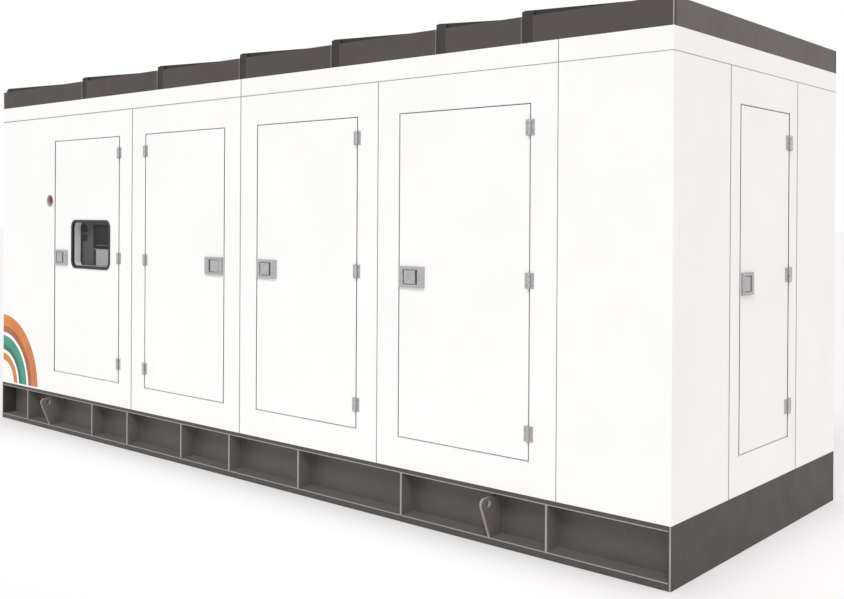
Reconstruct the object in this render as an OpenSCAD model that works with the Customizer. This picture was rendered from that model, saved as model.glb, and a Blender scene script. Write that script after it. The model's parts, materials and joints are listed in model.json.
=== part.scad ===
// Diesel generator set in a closed walk-around enclosure: a welded base frame,
// a panelled housing with hinged service doors, and a stepped roof.
// Millimetres, +Z up. The origin is at floor level, under the middle of the base.
// +X is the end with the door, -Y is the long side with the control window.

/* [Housing] */
// Length of the base and housing
body_l = 6500; // [6200:10:7600]
// Width of the base and housing
body_w = 2200; // [2000:10:2600]
// Height of the header strip above the panels
header_h = 120; // [60:1:250]
// Thickness of the insulated walls
wall_t = 70; // [50:1:100]
// Open joint between two panels
panel_joint = 4; // [2:0.5:8]
// Width of the plain bay at the door end
end_bay_w = 660; // [400:1:760]
// Pitch of the side door bays
bay_w = 1286; // [1180:1:1320]
// Number of side door bays before the control bay
bay_count = 3; // [1:1:3]

/* [Side doors] */
// Width of a side door
door_w = 928; // [700:1:960]
// Height of a side door
door_h = 1902; // [1700:1:1950]
// Height of a side door's lower edge above the base
door_sill_h = 187; // [100:1:250]
// Height of the panels above a side door
door_head_h = 207; // [60:1:300]
// Thickness of the door leaves
door_t = 62; // [40:1:64]
// Gap around every door leaf
door_gap = 9; // [8:0.5:12]

/* [End door] */
// Width of the middle panel on the short ends
end_panel_w = 919; // [850:1:1000]
// Width of the end door
end_door_w = 656; // [500:1:700]
// Height of the end door's lower edge above the base
end_door_sill_h = 216; // [100:1:250]
// Height of the panels above the end door
end_door_head_h = 201; // [60:1:300]

/* [Base frame] */
// Height of the base frame
base_h = 315; // [200:1:450]
// Thickness of the upper flanges
top_flange_t = 28; // [15:1:50]
// Thickness of the lower flanges
bottom_flange_t = 40; // [20:1:60]
// Width of the flanges
flange_w = 180; // [150:1:260]
// Depth of the pockets between the flanges
pocket_d = 120; // [80:1:140]
// Thickness of the side webs
web_t = 14; // [8:1:25]
// Thickness of the upright ribs
rib_t = 14; // [8:1:25]
// Thickness of the plates that close the base's ends
end_plate_t = 14; // [8:1:30]
// Thickness of the floor plate
deck_t = 8; // [5:1:15]

/* [Lifting lugs] */
// Thickness of a lug
lug_t = 20; // [12:1:40]
// Radius of the hole for a shackle pin
lug_hole_r = 20; // [12:0.5:24]
// Radius of a lug's rounded nose
lug_nose_r = 32; // [28:1:45]
// Distance that a nose stands out from the base's side
lug_reach = 80; // [60:1:120]
// Height of the hole above the floor
lug_hole_z = 230; // [160:1:240]
// Distance of the right lugs from the door end
right_lug_d = 1094; // [900:1:1300]
// Distance of the left lugs from the far end
left_lug_d = 797; // [500:1:1200]

/* [Roof] */
// Height of the fascia plates
fascia_h = 144; // [80:1:220]
// Thickness of the fascia plates
fascia_t = 25; // [10:1:50]
// Height of each roof bay's high edge above the fascia
roof_rise = 36; // [15:1:80]
// Depth of each roof bay's low edge below the fascia's top
roof_fall = 5; // [5:1:40]
// Height of the kerbs that carry the roof panels
roof_kerb_h = 70; // [40:1:70]
// Width of the posts at the roof steps
roof_post_w = 75; // [40:1:120]
// Set-back of those posts behind the fascia's face
roof_post_inset = 8; // [2:1:12]

/* [Hinges] */
// Height of a hinge
hinge_h = 84; // [60:1:120]
// Width of a side door hinge over both leaves
hinge_w = 58; // [46:1:90]
// Width of the end door hinge over both leaves
end_hinge_w = 96; // [60:1:110]
// Height of a side door's lowest hinge above the door's lower edge
side_hinge_low = 143; // [80:1:300]
// Depth of a side door's highest hinge below the door's upper edge
side_hinge_high = 124; // [80:1:300]
// Height of the end door's lowest hinge above the door's lower edge
end_hinge_low = 176; // [80:1:300]
// Depth of the end door's highest hinge below the door's upper edge
end_hinge_high = 168; // [80:1:300]
// Radius of a hinge's knuckles
knuckle_r = 9; // [6:0.5:12]
// Thickness of the hinge leaves
hinge_t = 4; // [2:0.5:6]

/* [Latches] */
// Width of a side door latch
latch_w = 190; // [140:1:220]
// Width of the end door latch
end_latch_w = 140; // [120:1:190]
// Height of a latch
latch_h = 124; // [90:1:160]
// Distance that a latch stands out from its door
latch_t = 14; // [12:0.5:25]
// Height of the latches above the base
latch_z = 1132; // [900:1:1300]
// Width of a side door's paddle
paddle_w = 88; // [60:1:90]
// Width of the end door's paddle
end_paddle_w = 70; // [50:1:75]
// Thickness of the paddles
paddle_t = 5; // [3:0.5:6]
// Width of the finger gap beside a paddle
finger_gap = 18; // [12:1:20]

/* [Window] */
// Distance between the window's gasket and the hinged edge of its door
window_hinge_gap = 115; // [60:1:160]
// Distance between the window's gasket and the latch of its door
window_latch_gap = 57; // [30:1:90]
// Height of the window over its gasket
window_h = 392; // [250:1:450]
// Corner radius of the window
window_r = 60; // [20:1:90]
// Width of the gasket around the glass
gasket_w = 20; // [10:1:35]
// Height of the window's middle above the base
window_z = 1246; // [1100:1:1400]
// Thickness of the glass
glass_t = 6; // [4:0.5:10]

/* [Control cabinet] */
// Width of the control cabinet
cabinet_w = 760; // [700:1:900]
// Height of the control cabinet
cabinet_h = 1600; // [1560:1:1900]
// Depth of the control cabinet
cabinet_d = 350; // [200:1:500]
// Gap between the closed door and the cabinet
cabinet_gap = 18; // [16:1:60]
// Diameter of the ring around the stop button
stop_ring_d = 98; // [80:1:110]
// Height of the stop button above the base
stop_z = 1600; // [1200:1:1900]
// Distance of the stop button from the control door
stop_side = 80; // [70:1:150]

/* [Hidden] */

// Colours of the finishes.
white_paint = "#F7F7F6";
grey_paint = "#5E5A58";
deck_grey = "#75726F";
zinc = "#B6B6B6";
rubber = "#3C3C3E";
lining = "#C9CBCC";
instrument = "#302F36";
stop_red = "#8C3040";
glass_tint = "#B0C4DE";

// Clearances.
knuckle_gap = 0.3;  // along the pin, between two knuckles
seat_gap = 0.3;     // where a moving piece lies on what carries it
pin_gap = 1;        // between the two leaves of a hinge
paddle_gap = 5;     // above and below a paddle
gasket_proud = 6;   // of the window's gasket on the leaf's face

// Heights.
panel_z = base_h;
header_z = base_h + door_sill_h + door_h + door_head_h;
end_door_h = header_z - base_h - end_door_sill_h - end_door_head_h;
roof_z = header_z + header_h;
fascia_z = roof_z + fascia_h;

// Places along X, from the door end towards the far end.
right_x = body_l / 2;
front_y = -body_w / 2;
jamb_w = (bay_w - door_w) / 2;
end_jamb_w = (end_panel_w - end_door_w) / 2;
control_bay_d = end_bay_w + bay_count * bay_w;
control_jamb_d = control_bay_d + jamb_w + door_w;
stop_d = control_jamb_d + stop_side;

// Distances of the ribs and the roof steps from the door end, and of the last ones from the far end.
rib_distances = [720, 1747, 2640, 3342, 3890, 4571];
far_rib_distances = [1440, 440];
step_distances = [900, 1501, 2360, 3257, 4208];
far_step_distance = 1264;
ribs_at = concat(rib_distances, [for (d = far_rib_distances) body_l - d]);
steps_at = concat(step_distances, [body_l - far_step_distance]);

// Heights of a door's hinges above its lower edge, the middle one half-way.
side_hinges_z = hinge_heights(side_hinge_low, door_h - side_hinge_high);
end_hinges_z = hinge_heights(end_hinge_low, end_door_h - end_hinge_high);

function hinge_heights(low, high) = [low, (low + high) / 2, high];

// Lug outline: the nose's centre and the corner it slopes down to.
lug_nose = [-lug_reach + lug_nose_r, lug_hole_z + 2];
lug_hole_y = -18;

// A box between two corners.
module block(low, high) {
    translate(low) cube(high - low);
}

// A box on the front wall: from d0 to d1 away from the door end, y0 to y1 inward.
module front_block(d0, d1, y0, y1, z0, z1) {
    block([right_x - d1, front_y + y0, z0], [right_x - d0, front_y + y1, z1]);
}

// A box on the door end: from d0 to d1 away from the front, x0 to x1 inward.
module end_block(d0, d1, x0, x1, z0, z1) {
    block([right_x - x1, front_y + d0, z0], [right_x - x0, front_y + d1, z1]);
}

module both_sides() {
    children();
    mirror([0, 1, 0]) children();
}

module both_ends() {
    children();
    mirror([1, 0, 0]) children();
}

// ---- Base frame ----

module side_web() {
    front_block(end_plate_t, body_l - end_plate_t, pocket_d, pocket_d + web_t,
        bottom_flange_t, base_h - top_flange_t);
}

module side_flanges() {
    front_block(end_plate_t, body_l - end_plate_t, 0, flange_w, 0, bottom_flange_t);
    front_block(end_plate_t, body_l - end_plate_t, 0, flange_w, base_h - top_flange_t, base_h);
}

module side_ribs() {
    for (d = ribs_at)
        front_block(d - rib_t / 2, d + rib_t / 2, 0, pocket_d, bottom_flange_t, base_h - top_flange_t);
}

module base_webs() {
    color(grey_paint) both_sides() side_web();
}

module base_flanges() {
    color(grey_paint) both_sides() side_flanges();
}

module base_ribs() {
    color(grey_paint) both_sides() side_ribs();
}

module base_end_plates() {
    color(grey_paint) both_ends() end_block(0, body_w, 0, end_plate_t, 0, base_h);
}

module base_deck() {
    color(deck_grey)
        front_block(end_plate_t, body_l - end_plate_t, flange_w, body_w - flange_w, base_h - deck_t, base_h);
}

// The point where a line from the lower corner touches the nose on its outer side.
function lug_touch(corner) =
    let (away = corner - lug_nose,
         turn = atan2(away[1], away[0]) - acos(lug_nose_r / norm(away)))
    lug_nose + lug_nose_r * [cos(turn), sin(turn)];

// Seen along the base: a plate from the web to the face with a nose that stands out.
module lug_outline() {
    corner = [0, bottom_flange_t];
    difference() {
        union() {
            polygon([
                [pocket_d, bottom_flange_t], corner, lug_touch(corner), lug_nose,
                lug_nose + [0, lug_nose_r], [pocket_d, lug_nose[1] + lug_nose_r]
            ]);
            translate(lug_nose) circle(lug_nose_r, $fn = 64);
        }
        translate([lug_hole_y, lug_hole_z]) circle(lug_hole_r, $fn = 64);
    }
}

module lug(d) {
    translate([right_x - d - lug_t / 2, front_y, 0])
        rotate([90, 0, 90]) linear_extrude(lug_t) lug_outline();
}

module lifting_lugs() {
    color(grey_paint) both_sides() {
        lug(right_lug_d);
        lug(body_l - left_lug_d);
    }
}

// ---- Walls ----

door_z = panel_z + door_sill_h;
end_door_z = panel_z + end_door_sill_h;

// The full-height strips: the plain bays and the strips on both sides of each door.
module side_wall_panels() {
    j = panel_joint / 2;
    front_block(0, end_bay_w - j, 0, wall_t, panel_z, header_z - j);
    for (i = [0 : bay_count - 1]) {
        bay_d = end_bay_w + i * bay_w;
        front_block(bay_d + j, bay_d + jamb_w - door_gap, 0, wall_t, panel_z, header_z - j);
        front_block(bay_d + jamb_w + door_w + door_gap, bay_d + bay_w - j, 0, wall_t,
            panel_z, header_z - j);
    }
    front_block(control_bay_d + j, control_bay_d + jamb_w - door_gap, 0, wall_t, panel_z, header_z - j);
    front_block(control_jamb_d + door_gap, body_l, 0, wall_t, panel_z, header_z - j);
}

// The panels below and above each door.
module side_door_surrounds() {
    for (i = [0 : bay_count]) {
        low_d = end_bay_w + i * bay_w + jamb_w - door_gap;
        high_d = low_d + door_w + 2 * door_gap;
        front_block(low_d, high_d, 0, wall_t, panel_z, door_z - door_gap);
        front_block(low_d, high_d, 0, wall_t, door_z + door_h + door_gap, header_z - panel_joint / 2);
    }
}

module side_header_strips() {
    j = panel_joint / 2;
    splits = [0, end_bay_w, end_bay_w + (bay_count - 1) * bay_w, body_l];
    for (i = [0 : len(splits) - 2])
        front_block(splits[i] + (i > 0 ? j : 0), splits[i + 1] - (i < len(splits) - 2 ? j : 0),
            0, wall_t, header_z + j, roof_z);
}

module front_wall_panels() {
    color(white_paint) difference() {
        side_wall_panels();
        stop_pocket();
    }
}

module front_door_surrounds() {
    color(white_paint) side_door_surrounds();
}

module front_header_strips() {
    color(white_paint) side_header_strips();
}

module back_wall_panels() {
    color(white_paint) mirror([0, 1, 0]) side_wall_panels();
}

module back_door_surrounds() {
    color(white_paint) mirror([0, 1, 0]) side_door_surrounds();
}

module back_header_strips() {
    color(white_paint) mirror([0, 1, 0]) side_header_strips();
}

end_side_w = (body_w - end_panel_w) / 2;

module end_wall_panels() {
    j = panel_joint / 2;
    low_d = end_side_w + end_jamb_w;
    color(white_paint) both_ends() both_sides() {
        end_block(wall_t, end_side_w - j, 0, wall_t, panel_z, header_z - j);
        end_block(end_side_w + j, low_d - door_gap, 0, wall_t, panel_z, header_z - j);
    }
}

module end_door_surrounds() {
    low_d = end_side_w + end_jamb_w - door_gap;
    high_d = body_w - low_d;
    color(white_paint) both_ends() {
        end_block(low_d, high_d, 0, wall_t, panel_z, end_door_z - door_gap);
        end_block(low_d, high_d, 0, wall_t, end_door_z + end_door_h + door_gap,
            header_z - panel_joint / 2);
    }
}

module end_header_strips() {
    color(white_paint) both_ends()
        end_block(wall_t, body_w - wall_t, 0, wall_t, header_z + panel_joint / 2, roof_z);
}

// ---- Frame behind the panel joints ----

post_w = 80;
post_t = 40;
rail_half_h = 40;
joint_places = [for (i = [0 : bay_count]) end_bay_w + i * bay_w];

module wall_posts() {
    top = header_z - rail_half_h;
    color(zinc) {
        both_sides() for (d = joint_places)
            front_block(d - post_w / 2, d + post_w / 2, wall_t, wall_t + post_t, base_h, top);
        both_ends() both_sides()
            end_block(end_side_w - post_w / 2, end_side_w + post_w / 2, wall_t, wall_t + post_t,
                base_h, top);
    }
}

// The side rails run from end wall to end wall, the end rails fit between them.
module eaves_rails() {
    low = header_z - rail_half_h;
    high = header_z + rail_half_h;
    color(zinc) {
        both_sides() front_block(wall_t, body_l - wall_t, wall_t, wall_t + post_t, low, high);
        both_ends() end_block(wall_t + post_t + panel_joint, body_w - wall_t - post_t - panel_joint,
            wall_t, wall_t + post_t, low, high);
    }
}

// ---- Roof ----

roof_edges = concat([0], steps_at, [body_l]);
roof_top_z = fascia_z + roof_rise;

// Below the roof panels' high edges.
roof_post_drop = 8;
far_fascia_drop = 10;

// Fascia plates run from each roof step's post to the next step.
module side_fascia() {
    for (i = [0 : len(roof_edges) - 2]) {
        last = i == len(roof_edges) - 2;
        front_block(roof_edges[i], roof_edges[i + 1] - (last ? 0 : roof_post_w), 0, fascia_t,
            roof_z, fascia_z);
    }
}

module roof_side_fascia() {
    color(grey_paint) both_sides() side_fascia();
}

// The door end's plate is as high as the side plates, the far end's covers the last roof panel.
module roof_end_fascia() {
    color(grey_paint) {
        end_block(fascia_t, body_w - fascia_t, 0, fascia_t, roof_z, fascia_z);
        mirror([1, 0, 0]) end_block(fascia_t, body_w - fascia_t, 0, fascia_t,
            roof_z, roof_top_z - far_fascia_drop);
    }
}

module roof_step_posts() {
    color(grey_paint) both_sides() for (d = steps_at)
        front_block(d - roof_post_w, d, roof_post_inset, fascia_t, roof_z, roof_top_z - roof_post_drop);
}

// The kerbs stand on the walls inside the fascia. The end kerbs fit between the side kerbs.
module roof_kerbs() {
    color(deck_grey) {
        both_sides() front_block(fascia_t, body_l - fascia_t, fascia_t, wall_t,
            roof_z, roof_z + roof_kerb_h);
        both_ends() end_block(wall_t + panel_joint, body_w - wall_t - panel_joint, fascia_t, wall_t,
            roof_z, roof_z + roof_kerb_h);
    }
}

// One roof bay: a tapered panel, high at its far end, falling towards the door end.
module roof_panel(d0, d1) {
    low_z = roof_z + roof_kerb_h;
    translate([0, body_w / 2 - fascia_t, 0]) rotate([90, 0, 0]) linear_extrude(body_w - 2 * fascia_t)
        polygon([
            [right_x - d1, low_z], [right_x - d0, low_z],
            [right_x - d0, fascia_z - roof_fall], [right_x - d1, roof_top_z]
        ]);
}

module roof_panels() {
    j = panel_joint / 2;
    color(deck_grey) for (i = [0 : len(roof_edges) - 2])
        roof_panel(
            roof_edges[i] + (i > 0 ? j : fascia_t),
            roof_edges[i + 1] - (i < len(roof_edges) - 2 ? j : fascia_t));
}

// ---- Doors, each in its own frame: X from the hinged edge, Y inward, Z from the lower edge ----

// A side door whose hinges are at its edge nearer the door end.
module right_hung(bay) {
    translate([right_x - end_bay_w - bay * bay_w - jamb_w, front_y, door_z]) mirror([1, 0, 0]) children();
}

// A side door whose hinges are at its edge nearer the far end.
module left_hung(bay) {
    translate([right_x - end_bay_w - bay * bay_w - jamb_w - door_w, front_y, door_z]) children();
}

module end_hung() {
    translate([right_x, end_door_w / 2, end_door_z]) rotate([0, 0, -90]) mirror([0, 1, 0]) children();
}

module leaf(w, h) {
    color(white_paint) cube([w, door_t, h]);
}

axis_x = -door_gap / 2;
axis_y = -knuckle_r;
knuckle_h = (hinge_h - 2 * knuckle_gap) / 3;

module knuckle(z) {
    translate([axis_x, axis_y, z]) cylinder(h = knuckle_h, r = knuckle_r, $fn = 48);
}

// The plate of one hinge leaf, on the door's side of the pin, with its knuckles.
module hinge_leaf(w, knuckles) {
    reach = knuckle_r + pin_gap;
    translate([axis_x + reach, -hinge_t, 0]) cube([w / 2 - reach, hinge_t, hinge_h]);
    for (k = knuckles) {
        z = k * (knuckle_h + knuckle_gap);
        knuckle(z);
        translate([axis_x, -hinge_t, z]) cube([reach + pin_gap, hinge_t, knuckle_h]);
    }
}

module door_hinges(w, places) {
    color(zinc) for (z = places)
        translate([0, 0, z - hinge_h / 2]) hinge_leaf(w, [0, 2]);
}

module frame_hinge_leaves(w, places) {
    for (z = places) translate([2 * axis_x, 0, z - hinge_h / 2]) mirror([1, 0, 0]) hinge_leaf(w, [1]);
}

// ---- Latches: a dished plate near the free edge, with a paddle on an upright pin ----

latch_inset = 6;      // from the leaf's free edge
latch_rim = 18;       // above and below the dish
dish_floor = 3;
pin_r = 3.5;
paddle_side_gap = 6;  // between the rolled edge and the dish's side
paddle_sunk = 1;      // of a paddle behind the plate's face
dish_h = latch_h - 2 * latch_rim;
pin_y = -latch_t + paddle_sunk + pin_r;

function dish_w(paddle) = paddle_side_gap + paddle + finger_gap;

// The dish's side nearer the free edge: a little over a third of the plain metal lies there.
function dish_high_x(door, plate, paddle) =
    door - latch_inset - 0.4 * (plate - dish_w(paddle));

module latch_plate(door, plate, paddle, low_z) {
    high_x = dish_high_x(door, plate, paddle);
    translate([0, 0, latch_z - low_z - latch_h / 2]) difference() {
        translate([door - latch_inset - plate, -latch_t, 0]) cube([plate, latch_t, latch_h]);
        translate([high_x - dish_w(paddle), -latch_t - 1, latch_rim])
            cube([dish_w(paddle), latch_t - dish_floor + 1, dish_h]);
    }
}

// A flat paddle rolled around its pin. The pin stops short of the dish's walls by end_gap.
module paddle_on_pin(door, plate, paddle, low_z, end_gap) {
    pin_x = dish_high_x(door, plate, paddle) - paddle_side_gap - pin_r;
    translate([pin_x, pin_y, latch_z - low_z - dish_h / 2]) {
        translate([0, 0, end_gap]) cylinder(h = dish_h - 2 * end_gap, r = pin_r, $fn = 32);
        translate([pin_r - paddle, -pin_r, paddle_gap])
            cube([paddle - pin_r, paddle_t, dish_h - 2 * paddle_gap]);
    }
}

module side_latch() {
    color(zinc) latch_plate(door_w, latch_w, paddle_w, door_sill_h);
}

module side_paddle() {
    color(zinc) paddle_on_pin(door_w, latch_w, paddle_w, door_sill_h, seat_gap);
}

module end_latch() {
    color(zinc) latch_plate(end_door_w, end_latch_w, end_paddle_w, end_door_sill_h);
}

// ---- Moving doors ----

module side_leaf() {
    leaf(door_w, door_h);
}

module side_hinges() {
    door_hinges(hinge_w, side_hinges_z);
}

module side_door_1_leaf() {
    left_hung(2) side_leaf();
}

module side_door_1_hinges() {
    left_hung(2) side_hinges();
}

module side_door_1_latch() {
    left_hung(2) side_latch();
}

module side_door_1_paddle() {
    left_hung(2) side_paddle();
}

module side_door_2_leaf() {
    right_hung(1) side_leaf();
}

module side_door_2_hinges() {
    right_hung(1) side_hinges();
}

module side_door_2_latch() {
    right_hung(1) side_latch();
}

module side_door_2_paddle() {
    right_hung(1) side_paddle();
}

module side_door_3_leaf() {
    right_hung(0) side_leaf();
}

module side_door_3_hinges() {
    right_hung(0) side_hinges();
}

module side_door_3_latch() {
    right_hung(0) side_latch();
}

module side_door_3_paddle() {
    right_hung(0) side_paddle();
}

module end_door_leaf() {
    end_hung() leaf(end_door_w, end_door_h);
}

module end_door_hinges() {
    end_hung() door_hinges(end_hinge_w, end_hinges_z);
}

module end_door_latch() {
    end_hung() end_latch();
}

module end_door_paddle() {
    color(zinc) end_hung()
        paddle_on_pin(end_door_w, end_latch_w, end_paddle_w, end_door_sill_h, seat_gap);
}

// ---- Control door: a leaf with a window cut through it ----

window_w = door_w - latch_inset - latch_w - window_latch_gap - window_hinge_gap;
window_x = window_hinge_gap + window_w / 2;
lip_overlap = 10;  // of the gasket over the leaf
gasket_back = 16;  // behind the leaf's face
glass_bite = 6;    // of the glass into the gasket

module rounded_rectangle(w, h, r) {
    square([w - 2 * r, h], center = true);
    square([w, h - 2 * r], center = true);
    for (x = [-1, 1], z = [-1, 1]) translate([x * (w / 2 - r), z * (h / 2 - r)]) circle(r, $fn = 64);
}

// A rounded slab in the window's place, from y0 to y1, grown on each side by more than its outline.
module window_slab(y0, y1, grow) {
    translate([window_x, y1, window_z - door_sill_h]) rotate([90, 0, 0]) linear_extrude(y1 - y0)
        rounded_rectangle(window_w + 2 * grow, window_h + 2 * grow, window_r + grow);
}

module control_door_leaf() {
    color(white_paint) right_hung(bay_count) difference() {
        cube([door_w, door_t, door_h]);
        window_slab(-1, door_t + 1, -lip_overlap);
    }
}

module window_gasket() {
    middle = gasket_back / 2;
    color(rubber) right_hung(bay_count) difference() {
        union() {
            window_slab(-gasket_proud, 0, 0);
            window_slab(-1, gasket_back, -lip_overlap - seat_gap);
        }
        window_slab(-gasket_proud - 1, gasket_back + 1, -gasket_w);
        window_slab(middle - glass_t / 2 - seat_gap, middle + glass_t / 2 + seat_gap,
            glass_bite + seat_gap - gasket_w);
    }
}

module window_glass() {
    middle = gasket_back / 2;
    color(glass_tint, 0.4) right_hung(bay_count)
        window_slab(middle - glass_t / 2, middle + glass_t / 2, glass_bite - gasket_w);
}

module control_door_hinges() {
    right_hung(bay_count) side_hinges();
}

module control_door_latch() {
    right_hung(bay_count) side_latch();
}

module control_door_paddle() {
    right_hung(bay_count) side_paddle();
}

// ---- Hinge leaves on the housing, and the doors of the far sides, which stay shut ----

module frame_hinges() {
    color(zinc) {
        for (bay = [0, 1, bay_count]) right_hung(bay) frame_hinge_leaves(hinge_w, side_hinges_z);
        left_hung(2) frame_hinge_leaves(hinge_w, side_hinges_z);
        end_hung() frame_hinge_leaves(end_hinge_w, end_hinges_z);
    }
}

module back_doors() {
    mirror([0, 1, 0]) {
        for (bay = [0, 1, bay_count]) right_hung(bay) children();
        left_hung(2) children();
    }
}

module far_end_door() {
    mirror([1, 0, 0]) end_hung() children();
}

module fixed_door_leaves() {
    back_doors() leaf(door_w, door_h);
    far_end_door() leaf(end_door_w, end_door_h);
}

// Both leaves of a shut hinge, joined along the pin.
module shut_hinges(w, places) {
    for (z = places) translate([0, 0, z - hinge_h / 2]) {
        hinge_leaf(w, [0, 2]);
        translate([2 * axis_x, 0, 0]) mirror([1, 0, 0]) hinge_leaf(w, [1]);
        translate([axis_x, axis_y, 0]) cylinder(h = hinge_h, r = knuckle_r, $fn = 48);
    }
}

module fixed_door_hinges() {
    color(zinc) {
        back_doors() shut_hinges(hinge_w, side_hinges_z);
        far_end_door() shut_hinges(end_hinge_w, end_hinges_z);
    }
}

module fixed_door_latches() {
    color(zinc) {
        back_doors() union() {
            latch_plate(door_w, latch_w, paddle_w, door_sill_h);
            paddle_on_pin(door_w, latch_w, paddle_w, door_sill_h, 0);
        }
        far_end_door() union() {
            latch_plate(end_door_w, end_latch_w, end_paddle_w, end_door_sill_h);
            paddle_on_pin(end_door_w, end_latch_w, end_paddle_w, end_door_sill_h, 0);
        }
    }
}

// ---- Control cabinet behind the window ----

// Places on the cabinet's front, from the window's middle: along the wall and up.
unit_side = 46;       // of the display and the breakers, towards the hinges
unit_proud = 10;
display_size = [240, 188];
display_up = 62;
breaker_size = [232, 132];
breaker_down = 105;
button_size = [62, 22];
button_side = 210;    // of the buttons, towards the free edge
button_ups = [37, 64, 109, 139];  // above the window's middle
button_proud = 6;

cabinet_y = door_t + cabinet_gap;
window_d = control_bay_d + jamb_w + window_x;

module control_cabinet() {
    cabinet_x = control_bay_d + jamb_w + (door_w - cabinet_w) / 2;
    color(zinc) front_block(cabinet_x, cabinet_x + cabinet_w, cabinet_y, cabinet_y + cabinet_d,
        base_h, base_h + cabinet_h);
}

// A unit on the cabinet's front, its middle d from the door end and z above the base.
module front_unit(d, z, size, proud) {
    front_block(d - size[0] / 2, d + size[0] / 2, cabinet_y - proud, cabinet_y,
        base_h + z - size[1] / 2, base_h + z + size[1] / 2);
}

module display_unit() {
    color(instrument) front_unit(window_d - unit_side, window_z + display_up, display_size, unit_proud);
}

module breaker_unit() {
    color(lining) front_unit(window_d - unit_side, window_z - breaker_down, breaker_size, unit_proud);
}

module panel_buttons() {
    color(rubber) for (up = button_ups)
        front_unit(window_d + button_side, window_z + up, button_size, button_proud);
}

// ---- Stop button beside the control door ----

stop_rim_proud = 7;       // of the wall's face
stop_rim_w = 5;
stop_cup_side = 2.5;
stop_cup_depth = 33;      // from the rim to the cup's floor
stop_cup_floor = 3;
stop_pocket_depth = 45;   // of the hole in the wall
stop_head_sunk = 13;      // behind the rim
stop_head_r = 21;
stop_head_t = 9;
stop_stem_r = 9;
stop_stem_in = 33;        // behind the wall's face
stop_bore_r = stop_ring_d / 2 - stop_rim_w;
stop_cup_r = stop_bore_r + stop_cup_side;
stop_floor_z = stop_rim_proud - stop_cup_depth;
stop_head_back = stop_rim_proud - stop_head_sunk - stop_head_t;

// Round pieces on the front face, with their axis pointing out of it.
module at_stop() {
    translate([right_x - stop_d, front_y, base_h + stop_z]) rotate([90, 0, 0]) children();
}

// A cylinder from z0 to z1.
module disc(r, z0, z1) {
    translate([0, 0, z0]) cylinder(h = z1 - z0, r = r, $fn = 96);
}

// The hole in the wall that the cup is let into.
module stop_pocket() {
    at_stop() disc(stop_cup_r + seat_gap, -stop_pocket_depth, 1);
}

// A round cup, let into the wall, with a rim on the wall's face.
module stop_button_ring() {
    back_z = stop_floor_z - stop_cup_floor;
    color(zinc) at_stop() difference() {
        union() {
            disc(stop_ring_d / 2, 0, stop_rim_proud);
            disc(stop_cup_r, back_z, stop_rim_proud);
        }
        disc(stop_bore_r, stop_floor_z, stop_rim_proud + 1);
        disc(stop_stem_r + seat_gap, back_z - 1, stop_rim_proud);
    }
}

// A mushroom head with a rounded rim, on a stem.
module stop_button() {
    rim = stop_head_t / 2;
    color(stop_red) at_stop() {
        disc(stop_stem_r, -stop_stem_in, stop_head_back + 1);
        translate([0, 0, stop_head_back]) rotate_extrude($fn = 96) {
            square([stop_head_r - rim, stop_head_t]);
            square([stop_head_r, rim]);
            translate([stop_head_r - rim, rim]) intersection() {
                circle(rim, $fn = 48);
                square(rim);
            }
        }
    }
}

base_webs();
base_flanges();
base_ribs();
base_end_plates();
base_deck();
lifting_lugs();
front_wall_panels();
front_door_surrounds();
front_header_strips();
back_wall_panels();
back_door_surrounds();
back_header_strips();
end_wall_panels();
end_door_surrounds();
end_header_strips();
wall_posts();
eaves_rails();
roof_side_fascia();
roof_end_fascia();
roof_step_posts();
roof_kerbs();
roof_panels();
control_door_leaf();
control_door_hinges();
control_door_latch();
control_door_paddle();
side_door_1_leaf();
side_door_1_hinges();
side_door_1_latch();
side_door_1_paddle();
side_door_2_leaf();
side_door_2_hinges();
side_door_2_latch();
side_door_2_paddle();
side_door_3_leaf();
side_door_3_hinges();
side_door_3_latch();
side_door_3_paddle();
end_door_leaf();
end_door_hinges();
end_door_latch();
end_door_paddle();
frame_hinges();
fixed_door_leaves();
fixed_door_hinges();
fixed_door_latches();
window_gasket();
window_glass();
control_cabinet();
display_unit();
breaker_unit();
panel_buttons();
stop_button_ring();
stop_button();
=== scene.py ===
"""Looks of the enclosed diesel generator set: its finishes, linings, seals, fixings, light and camera."""

import json
import math

import bmesh
import bpy
from mathutils import Matrix, Vector

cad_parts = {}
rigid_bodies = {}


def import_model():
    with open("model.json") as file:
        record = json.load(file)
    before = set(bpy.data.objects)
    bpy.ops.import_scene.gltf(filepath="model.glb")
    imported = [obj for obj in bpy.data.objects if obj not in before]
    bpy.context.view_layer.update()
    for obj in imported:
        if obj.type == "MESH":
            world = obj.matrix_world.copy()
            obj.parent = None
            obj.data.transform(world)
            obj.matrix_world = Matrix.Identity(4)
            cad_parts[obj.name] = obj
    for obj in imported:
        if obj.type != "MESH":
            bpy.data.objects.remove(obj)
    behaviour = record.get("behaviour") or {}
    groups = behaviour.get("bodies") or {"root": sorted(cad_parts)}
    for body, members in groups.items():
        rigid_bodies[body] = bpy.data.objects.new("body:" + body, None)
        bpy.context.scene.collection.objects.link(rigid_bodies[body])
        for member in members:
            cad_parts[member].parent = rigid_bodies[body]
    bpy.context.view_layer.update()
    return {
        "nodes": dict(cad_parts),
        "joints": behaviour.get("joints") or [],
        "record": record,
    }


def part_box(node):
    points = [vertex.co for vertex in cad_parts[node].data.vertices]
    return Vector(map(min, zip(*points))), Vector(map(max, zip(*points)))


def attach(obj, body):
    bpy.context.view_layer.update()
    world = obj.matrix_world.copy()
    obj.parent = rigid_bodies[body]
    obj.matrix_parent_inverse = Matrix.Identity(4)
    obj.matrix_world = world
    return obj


for leftover in list(bpy.data.objects):
    bpy.data.objects.remove(leftover)

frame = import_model()
cad_nodes = frame["nodes"]

MM = 0.001
UP = Vector((0, 0, 1))
SAME_POINT = 0.01 * MM     # vertices closer than this are one


# ---------------------------------------------------------------- materials

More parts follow.
